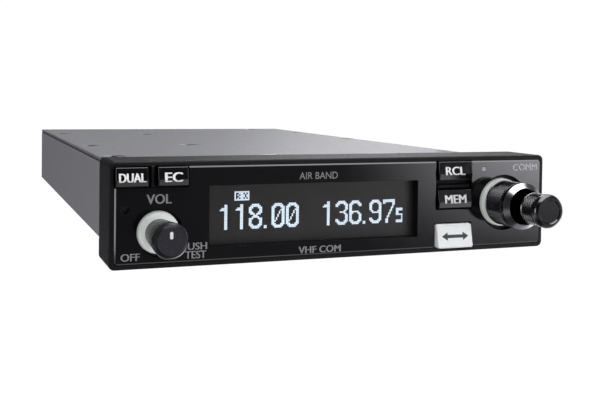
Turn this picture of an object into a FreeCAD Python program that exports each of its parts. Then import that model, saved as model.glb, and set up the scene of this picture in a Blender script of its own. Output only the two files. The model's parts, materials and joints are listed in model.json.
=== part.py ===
import FreeCAD, Part
import math
import os

# A panel-mounted aircraft VHF radio. A wide bezel carries the keys, a lit display and two
# knobs, and a shallow sheet-metal chassis behind it holds the boards, with the connectors
# and a heat sink at the rear.
# Millimetres. The origin is the centre of the bezel's rear plane, which seats on the
# instrument panel. +X is the pilot's right, +Y runs back into the aircraft, +Z is up.

Vector = FreeCAD.Vector
BACKWARD = Vector(0, 1, 0)
FORWARD = Vector(0, -1, 0)
UP = Vector(0, 0, 1)
DOWN = Vector(0, 0, -1)
CUT = 0.5  # how far a cutting tool runs past the face it opens

# ---- bezel and faceplate
BEZEL_WIDTH, BEZEL_HEIGHT, BEZEL_DEPTH = 160.0, 34.0, 20.0
BEZEL_CORNER, BEZEL_EDGE = 2.0, 0.8
BEZEL_WALL = 1.6
REAR_WALL = 2.0
FACE_PROUD = 0.6  # how far the faceplate stands in front of the bezel's rim
FACE_THICKNESS = 2.0
FACE_GAP = 0.2  # between the faceplate's edge and the rim
RIM_WIDTH = 1.45
FACE_CORNER, FACE_CHAMFER = 0.8, 0.45
SLIP = 0.1  # all-round clearance of a part in its opening
CHASSIS_BOSS, BOARD_BOSS = 2.4, 2.0  # radii of the bosses behind the front wall
CHASSIS_BOSS_FRONT = -7.0

HALF_W, HALF_H = BEZEL_WIDTH / 2, BEZEL_HEIGHT / 2
RIM_Y = -BEZEL_DEPTH
FACE_Y = RIM_Y - FACE_PROUD
FACE_BACK = FACE_Y + FACE_THICKNESS
WEB_BACK = FACE_BACK + BEZEL_WALL  # back of the bezel's front wall, which the faceplate lies on
POCKET_X, POCKET_Z = HALF_W - RIM_WIDTH, HALF_H - RIM_WIDTH - SLIP
FACE_X, FACE_Z = POCKET_X - FACE_GAP, POCKET_Z - FACE_GAP
INSIDE_X, INSIDE_Z = HALF_W - BEZEL_WALL, HALF_H - BEZEL_WALL

# ---- chassis
SHEET = 1.0
CHASSIS_LEFT, CHASSIS_RIGHT = -HALF_W, 57.4
CHASSIS_BOTTOM, COVER_TOP = -9.7, HALF_H
CHASSIS_REAR = 214.0
REAR_PLATE_Y = CHASSIS_REAR - 1.2
OUTER_BEND, FRONT_BEND = 0.8, 0.6  # outer radii of the folded sheet
REAR_FLANGE = 8.0
REBATE = 0.4  # the chassis enters the back of the bezel by this much
COVER_GAP = 0.5  # the dark line between the side walls and the cover
FLOOR_TOP = CHASSIS_BOTTOM + SHEET
COVER_BOTTOM = COVER_TOP - SHEET
FLANGE_TOP = COVER_BOTTOM - COVER_GAP
FLANGE_BOTTOM = FLANGE_TOP - SHEET
FLANGE_WIDTH = 10.0
PORT = (-68.0, 46.0, -5.0, 12.0)  # opening between bezel and chassis: x0, x1, z0, z1
COVER_SIDE_GAP, COVER_FRONT_GAP = 0.15, 0.1
COVER_BEND, COVER_EDGE = 0.9, 0.45
COVER_LIP = (-68.0, 45.0, 11.0)  # x0, x1 and lower edge of the lip folded down at the rear
COVER_TABS = ((-78.5, -71.5), (-23.0, -17.0), (19.0, 31.0))  # x0, x1 of the sloped front tabs
TAB_LENGTH, TAB_DROP = 3.2, 0.55

# ---- display
WINDOW = (-48.1, 27.35, -11.0, 8.9)  # opening in the faceplate: x0, x1, z0, z1
WINDOW_CORNER = 0.4
PANE_FRONT, PANE_BACK = -18.2, -17.5
SCREEN_Y = -17.3
SCREEN_GAP = 0.3
MODULE_SIDE, MODULE_END = 1.7, 1.5  # how far the module's frame overlaps the opening
LIGHT_PIPE_X, LIGHT_PIPE_Z, LIGHT_PIPE_HALF = 54.05, 12.3, 0.65
SENSOR_HALF_W, SENSOR_HALF_H, SENSOR_DEPTH = 1.2, 1.0, 0.95

# ---- keys: x0, x1, z0, z1, then how far the cap stands out of the face at its top edge,
# at its crease and at its bottom edge, and the crease's height as a share of the cap.
# The large key has one plain slope, without a crease.
KEYS = {
    "dual_key": (-78.2, -68.1, 9.1, 15.2, 0.9, 1.7, 1.3, 0.34),
    "clear_key": (-64.95, -55.3, 9.2, 15.2, 0.9, 1.7, 1.3, 0.34),
    "recall_key": (35.05, 48.45, 8.7, 15.2, 0.9, 1.7, 1.3, 0.34),
    "memory_key": (35.0, 48.35, -1.2, 5.2, 0.9, 1.7, 1.3, 0.34),
    "swap_key": (34.4, 48.4, -15.2, -6.9, 0.9, None, 2.6, None),
}
KEY_GAP = 0.2
KEY_TRAVEL = 0.8
KEY_EDGE, SWAP_CORNER = 0.35, 0.75
KEY_FLANGE = 1.0  # thickness of the flange that holds a cap behind the front wall
FLANGE_FOOT, FLANGE_SIDE, FLANGE_HEAD = 0.15, 0.6, 0.4
KEY_STEM, STEM_WELL, STEM_END_GAP = 1.6, 1.75, 0.2
SWITCH_HALF, SWITCH_DEPTH, WELL_FLOOR = 3.0, 2.6, 0.5
# notches in the faceplate around the keys: x0, x1, z0, z1
NOTCHES = ((-79.2, -54.7, 8.6, 16.0), (34.45, 49.1, -1.9, 16.0), (33.9, 49.0, -16.0, -6.4))
# ribs of the bezel between neighbouring keys
KEY_RIBS = ((-66.95, -65.75, 8.6, 15.45), (35.2, 48.3, 5.6, 7.2))
RIB_EDGE = 0.3
RIB_Y = FACE_Y + 0.3

# ---- volume control
VOLUME_X, VOLUME_Z = -64.2, -5.7
VOLUME_HOLE = 7.6
VOLUME_RING = (3.9, 6.7)
VOLUME_KNOB_BACK, VOLUME_KNOB_FRONT = -20.9, -37.6
VOLUME_BODY_HALF, VOLUME_BUSH, VOLUME_BUSH_FRONT = 5.4, 3.9, -14.4
VOLUME_SHAFT_FRONT, VOLUME_SHAFT_BACK = -33.0, -7.15
VOLUME_PLUNGER = (2.4, -7.1, -6.1)  # radius, front, back
# ends of the flat on the volume shaft, and its height off the axis
FLAT_FRONT, FLAT_BACK, FLAT_DEPTH = -34.0, -22.0, 2.0
POINTER_HALF, POINTER_LOW, POINTER_HIGH = 0.5, 0.75, 2.95
# ---- tuning control
TUNING_X, TUNING_Z = 62.45, 0.0
TUNING_HOLE = 10.1
TUNING_RING = (6.6, 8.6)
OUTER_KNOB_BACK, OUTER_KNOB_FRONT = -21.0, -34.2
OUTER_KNOB_FLOOR = -28.9
INNER_KNOB_BACK, INNER_KNOB_FRONT = -30.2, -48.0
TUNING_BODY_HALF_W, TUNING_BODY_HALF_H, TUNING_BUSH, TUNING_BUSH_FRONT = 6.8, 6.2, 4.6, -14.6
OUTER_SHAFT_BACK = -8.5
INNER_SHAFT_FRONT, INNER_SHAFT_BACK = -43.0, -6.15
TUNING_PLUNGER = (1.5, -6.1, -5.1)
# ---- both controls
CONTROL_BACK, CONTROL_CORNER = -3.4, 1.0
NUT_FRONT = -14.0
VOLUME_NUT, TUNING_NUT = 10.0, 12.0  # across flats
SHAFT_RADIUS = 3.0
INNER_SHAFT_RADIUS = 1.75
RUNNING = 0.05  # radial clearance of a turning shaft
SNUG = 0.02  # radial clearance of a fixed joint
RING_FRONT = FACE_Y + 0.6
RING_FLANGE, RING_LIP, RING_EASE = 0.8, 1.0, 0.3
RING_GAP = 0.15
LED_CIRCLES = ((VOLUME_X, VOLUME_Z, 6.3), (TUNING_X, TUNING_Z, 8.6))
LED_HALF_W, LED_HALF_H, LED_DEPTH = 0.8, 0.4, 0.8

# ---- boards
FRONT_BOARD_FRONT, BOARD_THICKNESS = -12.0, 1.6
FRONT_BOARD_BACK = FRONT_BOARD_FRONT + BOARD_THICKNESS
FRONT_BOARD_HALF_W, FRONT_BOARD_HALF_H = 77.2, 14.8
SWITCH_FRONT, SWITCH_FLOOR = FRONT_BOARD_FRONT - SWITCH_DEPTH, FRONT_BOARD_FRONT - WELL_FLOOR
FRONT_SCREWS = (
    (-51.6, 12.9),
    (-52.4, -13.1),
    (31.0, 12.9),
    (31.0, -13.1),
    (75.6, 12.6),
    (75.6, -12.6),
)
MAIN_BOARD = (-70.0, 52.0, 8.0, 205.0)
MAIN_BOARD_BOTTOM = -3.6
PAWL_CUTOUT = (-58.0, 4.0, 8.0)  # right edge, then the reach in front of the pawl and behind the bracket
REAR_CUTOUT = (30.0, 195.5)  # left and front edges
MAIN_BOARD_TOP = MAIN_BOARD_BOTTOM + BOARD_THICKNESS
STANDOFFS = (
    (-66.0, 14.0),
    (48.0, 14.0),
    (-66.0, 108.0),
    (48.0, 108.0),
    (-66.0, 199.0),
    (48.0, 190.0),
)
STANDOFF_RADIUS, STANDOFF_FLOOR = 2.6, 0.6
SHIELD_CAN = (-22.0, 28.0, 116.0, 176.0, 7.0)  # x0, x1, y0, y1, top
CAN_WALL, CAN_CORNER = 0.5, 1.5
# capacitors: x, y, radius, height
CAPACITORS = ((-50, 30, 5, 12), (-36, 30, 5, 12), (-22, 42, 4, 10), (-8, 42, 4, 10))
CAPACITOR_EDGE = 0.6
FILTER_LEFTS, FILTER_WIDTH, FILTER_Y, FILTER_TOP = (4.0, 18.0, 32.0), 10.0, (78.0, 92.0), 6.0
AMPLIFIER = (10.0, 27.5, 206.4, -1.2, 8.0)  # x0, x1, y0, z0, z1
AMPLIFIER_TAB = (3.0, 1.2)  # width, thickness
CABLE_X, CABLE_THICKNESS = (-19.5, -4.5), 0.3
CABLE_CONNECTOR_X = (-21.0, -3.0)
CABLE_CONNECTOR_HALF_H, CABLE_CONNECTOR_LENGTH, CABLE_CONNECTOR_RISE = 2.0, 5.0, 1.4
CABLE_START_Y, CABLE_BEND_Y, CABLE_END_Y, CABLE_HIGH, CABLE_LOW = -8.4, 11.0, 20.0, 3.0, -0.8

# ---- lock: a rod turned with a hexagon key through the faceplate
LOCK_X, LOCK_Z = -75.0, 1.8
LOCK_HOLE = 1.45
LOCK_ROD_RADIUS, LOCK_ROD_END = 1.5, 63.0
LOCK_HEAD_RADIUS = 2.4
HEX_SOCKET = 2.5  # across flats
PAWL_REACH, PAWL_WIDTH = 14.0, 4.6
PAWL_Y = (50.0, 54.0)
PAWL_HUB, PAWL_TIP = 3.2, 1.6
PAWL_SLOT = (-3.0, 12.5, 0.8)  # reach to the left and right of the rod, clearance along Y
LOCK_HEAD_FRONT, LOCK_HEAD_BACK, LOCK_SOCKET_DEPTH = WEB_BACK + 0.3, -11.0, 3.6
BRACKET_Y, BRACKET_FOOT, BRACKET_SHEET = 60.0, 7.0, 1.2
BRACKET_X = (LOCK_X - 3.4, LOCK_X + 4.0)
BRACKET_RISE = 4.0

# ---- fasteners: clearance hole, shank and head radii, head height
M25 = {"hole": 1.4, "shank": 1.2, "head": 2.3, "height": 0.9}
M2 = {"hole": 1.15, "shank": 0.95, "head": 1.7, "height": 0.9}
SCREW_EDGE, RECESS_HALF, RECESS_REACH, RECESS_FLOOR = 0.25, 0.25, 0.6, 0.4
# cover screws: x, y, radius of the dimple around the head
COVER_SCREWS = (
    (-73.0, 5.5, 5.0),
    (-73.0, 64.0, 5.0),
    (-73.0, 168.0, 5.0),
    (-33.0, 64.0, 5.0),
    (-33.0, 156.0, 5.0),
    (53.4, 7.0, 3.4),
    (53.4, 99.0, 3.4),
    (53.4, 168.0, 3.4),
    (39.7, 206.0, 5.0),
)
DIMPLE_FLAT = M25["head"] + 0.25
PILLARS = ((-33.0, 64.0), (-33.0, 156.0), (39.7, 206.0))
PILLAR_RADIUS, PILLAR_HOLE_FLOOR = 3.0, 8.0
BEZEL_SCREWS = ((-73.2, 12.0), (-73.2, -5.2), (51.0, 12.0), (51.0, -5.2))
REAR_SCREWS = ((-75.5, 11.5), (-75.5, -5.0), (53.5, 11.5), (53.5, -5.0))
REAR_PLATE_CORNER = 0.7

# ---- rear connectors
CONNECTOR_X, CONNECTOR_Z = -28.0, 3.0
CONNECTOR_SPACING = 47.04  # between the two jack screws of a 25-way connector
D_WIDE, D_NARROW, D_HALF, D_CORNER = 19.4, 18.0, 4.15, 2.2
SHELL_DEPTH, SHELL_WALL = 6.2, 0.45
SHELL_FLANGE = (26.5, 6.2, 0.8, 1.5)  # half width, half height, thickness, corner radius
INSULATOR_FRONT, INSULATOR_BACK, CONTACT_FLOOR = 4.0, 5.9, 1.0
CONTACT_PITCH, CONTACT_ROW, CONTACT_HOLE = 2.76, 2.84, 0.55
CONTACT_ROWS = ((13, CONTACT_ROW / 2), (12, -CONTACT_ROW / 2))
JACK_HOLE, JACK_STUD, JACK_CLEARANCE = 1.42, 1.4, 1.6
JACK_FLATS, JACK_LENGTH, JACK_STUD_DEPTH, JACK_HOLE_FLOOR = 4.75, 5.0, 3.0, 0.8
ANTENNA_X, ANTENNA_Z = -64.0, 3.0
ANTENNA_RADIUS, ANTENNA_THREAD, ANTENNA_END = 4.85, 5.2, 223.0
ANTENNA_BORE, ANTENNA_COLLAR, ANTENNA_CONTACT = 3.5, 7.0, 0.75
ANTENNA_NUT = (13.0, 2.4)  # across flats, thickness
ANTENNA_SHOULDER = CHASSIS_REAR + 2.6
ANTENNA_FRONT = CHASSIS_REAR - 6.0
COLLAR_THICKNESS, ANTENNA_EDGE = 1.5, 0.5
DIELECTRIC_BACK = CHASSIS_REAR + 1.5
CONTACT_FRONT, CONTACT_BACK, CONTACT_EDGE = CHASSIS_REAR - 8.0, CHASSIS_REAR + 7.0, 0.3
HEAT_SINK = (4.0, 51.2, -8.6, 8.2)  # x0, x1, z0, z1
FIN_PITCH, FIN_THICKNESS, FIN_DEPTH, FIN_BASE = 4.6, 1.2, 8.0, 2.4
SINK_SCREWS = ((30.5, 5.5), (45.0, 5.5))
SINK_HOLE_DEPTH = 2.0


# ---------------------------------------------------------------- helpers
def box(x0, x1, y0, y1, z0, z1):
    return Part.makeBox(x1 - x0, y1 - y0, z1 - z0, Vector(x0, y0, z0))


def rod(radius, y0, y1, x, z):
    """A round bar along Y."""
    return Part.makeCylinder(radius, y1 - y0, Vector(x, y0, z), BACKWARD)


def post(radius, z0, z1, x, y):
    """A round bar along Z."""
    return Part.makeCylinder(radius, z1 - z0, Vector(x, y, z0), UP)


def edges_along(shape, axis):
    found = []
    for edge in shape.Edges:
        if isinstance(edge.Curve, Part.Line) and abs(edge.Curve.Direction.dot(axis)) > 0.999:
            found.append(edge)
    return found


def edges_on_plane(shape, axis, level):
    """The edges that lie wholly in the plane at this level along the axis."""
    found = []
    for edge in shape.Edges:
        heights = [vertex.Point.dot(axis) for vertex in edge.Vertexes]
        if all(abs(height - level) < 1e-4 for height in heights):
            found.append(edge)
    return found


def rounded_slab(x0, x1, y0, y1, z0, z1, radius, axis=BACKWARD):
    """A box whose four edges along the axis are rounded."""
    slab = box(x0, x1, y0, y1, z0, z1)
    return slab.makeFillet(radius, edges_along(slab, axis))


def turned(profile, x, z):
    """A body of revolution about the line along Y through x, z, from (y, radius) points."""
    points = [Vector(x + radius, y, z) for y, radius in profile]
    outline = Part.makePolygon(points + [points[0]])
    return Part.Face(outline).revolve(Vector(x, 0, z), BACKWARD, 360)


def prism_x(outline, x0, x1):
    """A closed outline of (y, z) points, run along X."""
    points = [Vector(x0, y, z) for y, z in outline]
    face = Part.Face(Part.makePolygon(points + [points[0]]))
    return face.extrude(Vector(x1 - x0, 0, 0))


def hexagon(across_flats, y0, y1, x, z):
    """A hexagonal bar along Y."""
    radius = across_flats / math.sqrt(3)
    angles = [math.radians(60 * i) for i in range(6)]
    points = [Vector(x + radius * math.cos(a), y0, z + radius * math.sin(a)) for a in angles]
    face = Part.Face(Part.makePolygon(points + [points[0]]))
    return face.extrude(Vector(0, y1 - y0, 0))


def screw(size, length, place, into):
    """A pan-head screw with a cross recess. place is the centre of the head's underside."""
    head = Part.makeCylinder(size["head"], size["height"], Vector(0, 0, 0), UP)
    head = head.makeChamfer(SCREW_EDGE, edges_on_plane(head, UP, size["height"]))
    shank = Part.makeCylinder(size["shank"], length, Vector(0, 0, -length), UP)
    body = head.fuse(shank)
    arm, floor = size["head"] * RECESS_REACH, size["height"] * RECESS_FLOOR
    top = size["height"] + CUT
    body = body.cut(box(-arm, arm, -RECESS_HALF, RECESS_HALF, floor, top))
    body = body.cut(box(-RECESS_HALF, RECESS_HALF, -arm, arm, floor, top))
    body.Placement = FreeCAD.Placement(place, FreeCAD.Rotation(UP, into * -1))
    return body


def save(node, solids):
    """One file per node, holding one solid or a group of separate solids."""
    solids = solids if isinstance(solids, list) else [solids]
    pieces = [piece for solid in solids for piece in solid.removeSplitter().Solids]
    shape = pieces[0] if len(pieces) == 1 else Part.makeCompound(pieces)
    if not shape.isValid():
        raise ValueError(node + " is not a valid shape")
    shape.exportStep(os.path.join("parts", node + ".step"))


# ---------------------------------------------------------------- front panel
def key_opening(limits, y0, y1, gap):
    x0, x1, z0, z1 = limits[:4]
    return box(x0 - gap, x1 + gap, y0, y1, z0 - gap, z1 + gap)


def bezel_housing():
    """A moulded frame: rim, front wall with its openings, side walls and rear wall."""
    body = rounded_slab(-HALF_W, HALF_W, RIM_Y, 0, -HALF_H, HALF_H, BEZEL_CORNER)
    body = body.makeFillet(BEZEL_EDGE, edges_on_plane(body, BACKWARD, RIM_Y))
    front, top = RIM_Y - CUT, HALF_H + CUT
    pocket = rounded_slab(-POCKET_X, POCKET_X, front, FACE_BACK, -POCKET_Z, POCKET_Z, FACE_CORNER)
    inside = box(-INSIDE_X, INSIDE_X, WEB_BACK, -REAR_WALL, -INSIDE_Z, INSIDE_Z)
    body = body.cut(pocket).cut(inside)
    right, bottom = CHASSIS_RIGHT + SLIP, CHASSIS_BOTTOM - SLIP
    body = body.cut(box(CHASSIS_LEFT - CUT, right, -REBATE, CUT, bottom, top))
    body = body.cut(box(PORT[0], PORT[1], -REAR_WALL - CUT, CUT, PORT[2], PORT[3]))
    for limits in KEYS.values():
        body = body.cut(key_opening(limits, FACE_BACK - CUT, WEB_BACK + CUT, KEY_GAP))
    for x0, x1, z0, z1 in KEY_RIBS:
        rib = box(x0, x1, RIB_Y, WEB_BACK, z0, z1)
        body = body.fuse(rib.makeChamfer(RIB_EDGE, edges_on_plane(rib, BACKWARD, RIB_Y)))
    web = (FACE_BACK - CUT, WEB_BACK + CUT)
    body = body.cut(box(WINDOW[0], WINDOW[1], web[0], web[1], WINDOW[2], WINDOW[3]))
    body = body.cut(rod(VOLUME_RING[1] + RING_GAP, *web, VOLUME_X, VOLUME_Z))
    body = body.cut(rod(TUNING_RING[1] + RING_GAP, *web, TUNING_X, TUNING_Z))
    body = body.cut(rod(LOCK_HOLE + SLIP, *web, LOCK_X, LOCK_Z))
    body = body.cut(light_pipe(SLIP))
    return add_bezel_bosses(body)


def add_bezel_bosses(body):
    """Bosses for the front board's screws and for the screws that hold the chassis."""
    for x, z in FRONT_SCREWS:
        body = body.fuse(rod(BOARD_BOSS, WEB_BACK - CUT, FRONT_BOARD_FRONT, x, z))
        body = body.cut(rod(M2["shank"] + SNUG, WEB_BACK + CUT, FRONT_BOARD_FRONT + CUT, x, z))
    for x, z in BEZEL_SCREWS:
        body = body.fuse(rod(CHASSIS_BOSS, CHASSIS_BOSS_FRONT, CUT - REAR_WALL, x, z))
        body = body.cut(rod(M25["shank"] + SNUG, CHASSIS_BOSS_FRONT + CUT, CUT, x, z))
    body = body.cut(rod(LOCK_ROD_RADIUS + RUNNING, -REAR_WALL - CUT, CUT, LOCK_X, LOCK_Z))
    return body


def faceplate():
    """The glossy panel that carries the print, cut out for keys, window and knobs."""
    body = rounded_slab(-FACE_X, FACE_X, FACE_Y, FACE_BACK, -FACE_Z, FACE_Z, FACE_CORNER)
    body = body.makeChamfer(FACE_CHAMFER, edges_on_plane(body, BACKWARD, FACE_Y))
    through = (FACE_Y - CUT, FACE_BACK + CUT)
    for x0, x1, z0, z1 in NOTCHES:
        body = body.cut(box(x0, x1, *through, z0, z1))
    opening = rounded_slab(WINDOW[0], WINDOW[1], *through, WINDOW[2], WINDOW[3], WINDOW_CORNER)
    body = body.cut(opening)
    body = body.cut(rod(VOLUME_HOLE, *through, VOLUME_X, VOLUME_Z))
    body = body.cut(rod(TUNING_HOLE, *through, TUNING_X, TUNING_Z))
    body = body.cut(rod(LOCK_HOLE, *through, LOCK_X, LOCK_Z))
    return body.cut(light_pipe(SLIP))


def light_pipe(gap):
    """The square light pipe of the ambient light sensor, or the hole for it."""
    half = LIGHT_PIPE_HALF + gap
    front = FACE_Y + SLIP / 2 - gap * 2
    back = FRONT_BOARD_FRONT - SENSOR_DEPTH - SLIP / 2 + gap
    x, z = LIGHT_PIPE_X, LIGHT_PIPE_Z
    return box(x - half, x + half, front, back, z - half, z + half)


def light_sensor():
    """The sensor chip on the board behind the light pipe."""
    x, z = LIGHT_PIPE_X, LIGHT_PIPE_Z
    y0, y1 = FRONT_BOARD_FRONT - SENSOR_DEPTH, FRONT_BOARD_FRONT
    return box(x - SENSOR_HALF_W, x + SENSOR_HALF_W, y0, y1, z - SENSOR_HALF_H, z + SENSOR_HALF_H)


def window_block(side, end, y0, y1):
    """A block in line with the window, larger by side at its ends and by end above and below."""
    return box(WINDOW[0] - side, WINDOW[1] + side, y0, y1, WINDOW[2] - end, WINDOW[3] + end)


def display_window():
    return window_block(-SLIP, -SLIP, PANE_FRONT, PANE_BACK)


def display_module():
    """The display: a framed glass panel whose lit face stands inside the window opening."""
    glass = window_block(-SCREEN_GAP, -SCREEN_GAP, SCREEN_Y, WEB_BACK + 2 * SLIP)
    frame = window_block(MODULE_SIDE, MODULE_END, WEB_BACK + SLIP, FRONT_BOARD_FRONT - SLIP)
    return glass.fuse(frame)


def light_ring(radii, x, z):
    """A ring that lights the dial around a knob, with a flange behind the front wall."""
    inner, outer = radii
    step, back = WEB_BACK + SLIP / 2, WEB_BACK + RING_FLANGE
    profile = [
        (RING_FRONT, inner + RING_EASE),
        (RING_FRONT, outer - RING_EASE),
        (RING_FRONT + RING_EASE, outer),
        (step, outer),
        (step, outer + RING_LIP),
        (back, outer + RING_LIP),
        (back, inner),
        (RING_FRONT + RING_EASE, inner),
    ]
    return turned(profile, x, z)


def panel_leds():
    """Chips on the front board that light the two rings."""
    leds = []
    y0, y1 = FRONT_BOARD_FRONT - LED_DEPTH, FRONT_BOARD_FRONT
    for x, z, radius in LED_CIRCLES:
        for angle in (45, 135, 225, 315):
            cx = x + radius * math.cos(math.radians(angle))
            cz = z + radius * math.sin(math.radians(angle))
            leds.append(
                box(cx - LED_HALF_W, cx + LED_HALF_W, y0, y1, cz - LED_HALF_H, cz + LED_HALF_H)
            )
    return leds


# ---------------------------------------------------------------- keys
def key_cap(limits, corner):
    """A cap with a creased face, a retaining flange behind the front wall and a stem."""
    x0, x1, z0, z1, top, crest, bottom, share = limits
    back = WEB_BACK + RING_GAP
    outline = [(back, z0), (FACE_Y - bottom, z0), (FACE_Y - top, z1), (back, z1)]
    crease = None
    if share:
        crease = z0 + (z1 - z0) * share
        outline.insert(2, (FACE_Y - crest, crease))
    cap = prism_x(outline, x0, x1)
    if corner:
        cap = cap.makeFillet(corner, edges_along(cap, BACKWARD))
    front = [edge for edge in cap.Edges if edge.BoundBox.YMax < FACE_Y]
    cap = cap.makeFillet(KEY_EDGE, [edge for edge in front if not on_crease(edge, crease)])
    foot, head = z0 - FLANGE_FOOT, z1 - FLANGE_HEAD
    flange = box(x0 + FLANGE_HEAD, x1 + FLANGE_SIDE, back, back + KEY_FLANGE, foot, head)
    stem_back = SWITCH_FLOOR - KEY_TRAVEL - STEM_END_GAP
    stem = rod(KEY_STEM, back, stem_back, (x0 + x1) / 2, (z0 + z1) / 2)
    return cap.fuse(flange).fuse(stem)


def on_crease(edge, crease):
    """Whether this is the long edge where the two slopes of a cap meet."""
    limits = edge.BoundBox
    return crease is not None and abs(limits.Center.z - crease) < SLIP and limits.XLength > 1


def key_switches():
    """One square switch per key, on the front board, with a well that takes the key's stem."""
    switches = []
    half = SWITCH_HALF
    for x0, x1, z0, z1, *_ in KEYS.values():
        cx, cz = (x0 + x1) / 2, (z0 + z1) / 2
        body = box(cx - half, cx + half, SWITCH_FRONT, FRONT_BOARD_FRONT, cz - half, cz + half)
        switches.append(body.cut(rod(STEM_WELL, SWITCH_FRONT - CUT, SWITCH_FLOOR, cx, cz)))
    return switches


# ---------------------------------------------------------------- volume control
def control_body(half_w, half_h, bush, bush_front, x, z):
    """A box behind the front board, with a threaded bush that comes through it."""
    y0, y1 = FRONT_BOARD_BACK, CONTROL_BACK
    body = rounded_slab(x - half_w, x + half_w, y0, y1, z - half_h, z + half_h, CONTROL_CORNER)
    return body.fuse(rod(bush, bush_front, y0 + CUT, x, z))


def volume_potentiometer():
    half = VOLUME_BODY_HALF
    body = control_body(half, half, VOLUME_BUSH, VOLUME_BUSH_FRONT, VOLUME_X, VOLUME_Z)
    floor = VOLUME_PLUNGER[2] + 2 * CUT
    return body.cut(rod(SHAFT_RADIUS + RUNNING, VOLUME_BUSH_FRONT - CUT, floor, VOLUME_X, VOLUME_Z))


def shaft_nut(across_flats, bush_radius, x, z):
    nut = hexagon(across_flats, NUT_FRONT, FRONT_BOARD_FRONT - SNUG, x, z)
    return nut.cut(rod(bush_radius + SNUG, NUT_FRONT - CUT, FRONT_BOARD_FRONT + CUT, x, z))


def volume_plunger():
    """The disc that the shaft pushes when the knob is pressed."""
    return rod(*VOLUME_PLUNGER, VOLUME_X, VOLUME_Z)


def shaft_flat(front, back, depth):
    """The block below the flat of the volume shaft."""
    reach = SHAFT_RADIUS + CUT
    return box(VOLUME_X - reach, VOLUME_X + reach, front, back, VOLUME_Z - reach, VOLUME_Z - depth)


def volume_shaft():
    shaft = rod(SHAFT_RADIUS, VOLUME_SHAFT_FRONT, VOLUME_SHAFT_BACK, VOLUME_X, VOLUME_Z)
    return shaft.cut(shaft_flat(FLAT_FRONT, FLAT_BACK, FLAT_DEPTH))


def volume_knob():
    """A smooth knob that widens towards its front, with a stepped front bevel."""
    profile = [
        (VOLUME_KNOB_BACK, 0),
        (VOLUME_KNOB_BACK, 4.6),
        (-26.0, 4.9),
        (-31.0, 5.25),
        (-35.6, 5.6),
        (-36.1, 5.5),
        (-37.1, 4.95),
        (VOLUME_KNOB_FRONT, 4.3),
        (VOLUME_KNOB_FRONT, 0),
    ]
    knob = turned(profile, VOLUME_X, VOLUME_Z)
    bore = rod(SHAFT_RADIUS + SNUG, VOLUME_SHAFT_FRONT - RING_EASE, RIM_Y, VOLUME_X, VOLUME_Z)
    flat = shaft_flat(FLAT_FRONT, FLAT_BACK - SLIP, FLAT_DEPTH + SNUG)
    return knob.cut(bore.cut(flat)).cut(volume_pointer())


def volume_pointer():
    """The white line inlaid in the knob's face."""
    front, back = VOLUME_KNOB_FRONT - SNUG, VOLUME_KNOB_FRONT + CUT
    x0, x1 = VOLUME_X - POINTER_HALF, VOLUME_X + POINTER_HALF
    z0, z1 = VOLUME_Z + POINTER_LOW, VOLUME_Z + POINTER_HIGH
    return rounded_slab(x0, x1, front, back, z0, z1, POINTER_HALF * 0.95)


# ---------------------------------------------------------------- tuning control
def tuning_encoder():
    """A body for two shafts, one inside the other."""
    halves = (TUNING_BODY_HALF_W, TUNING_BODY_HALF_H)
    body = control_body(*halves, TUNING_BUSH, TUNING_BUSH_FRONT, TUNING_X, TUNING_Z)
    outer_floor, inner_floor = OUTER_SHAFT_BACK + CUT, TUNING_PLUNGER[2] + 2 * CUT
    front = TUNING_BUSH_FRONT - CUT
    body = body.cut(rod(SHAFT_RADIUS + RUNNING, front, outer_floor, TUNING_X, TUNING_Z))
    return body.cut(rod(INNER_SHAFT_RADIUS + RUNNING, front, inner_floor, TUNING_X, TUNING_Z))


def tuning_plunger():
    """The disc that the inner shaft pushes when the inner knob is pressed."""
    return rod(*TUNING_PLUNGER, TUNING_X, TUNING_Z)


def tuning_outer_shaft():
    front, back = OUTER_KNOB_FLOOR, OUTER_SHAFT_BACK
    tube = rod(SHAFT_RADIUS, front, back, TUNING_X, TUNING_Z)
    bore = rod(INNER_SHAFT_RADIUS + RUNNING, front - CUT, back + CUT, TUNING_X, TUNING_Z)
    return tube.cut(bore)


def tuning_inner_shaft():
    return rod(INNER_SHAFT_RADIUS, INNER_SHAFT_FRONT, INNER_SHAFT_BACK, TUNING_X, TUNING_Z)


def tuning_outer_knob():
    """A cup with a gripped wall, and a smooth lip around the bore that the inner knob enters."""
    profile = [
        (OUTER_KNOB_BACK, SHAFT_RADIUS + SNUG),
        (OUTER_KNOB_BACK, 7.8),
        (OUTER_KNOB_BACK - 0.3, 8.1),
        (-30.4, 8.1),
        (-30.6, 7.8),
        (-30.9, 7.8),
        (-31.2, 8.2),
        (-32.6, 8.2),
        (OUTER_KNOB_FRONT, 6.55),
        (-33.9, 6.25),
        (OUTER_KNOB_FLOOR, 6.25),
        (OUTER_KNOB_FLOOR, SHAFT_RADIUS + SNUG),
    ]
    return turned(profile, TUNING_X, TUNING_Z)


def tuning_inner_knob():
    """A gripped barrel on a narrow neck, with a smooth head and a dished front."""
    profile = [
        (INNER_KNOB_BACK, 0),
        (INNER_KNOB_BACK, 4.1),
        (INNER_KNOB_BACK - 0.4, 4.4),
        (-38.6, 4.4),
        (-38.8, 5.2),
        (-39.2, 5.6),
        (-45.1, 5.6),
        (-45.3, 5.3),
        (-45.6, 5.3),
        (-45.9, 5.75),
        (-46.9, 5.75),
        (INNER_KNOB_FRONT, 4.75),
        (INNER_KNOB_FRONT, 4.2),
        (INNER_KNOB_FRONT + 0.35, 3.85),
        (INNER_KNOB_FRONT + 0.35, 0),
    ]
    knob = turned(profile, TUNING_X, TUNING_Z)
    front, back = INNER_SHAFT_FRONT - RING_EASE, INNER_KNOB_BACK + CUT
    return knob.cut(rod(INNER_SHAFT_RADIUS + SNUG, front, back, TUNING_X, TUNING_Z))


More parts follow.
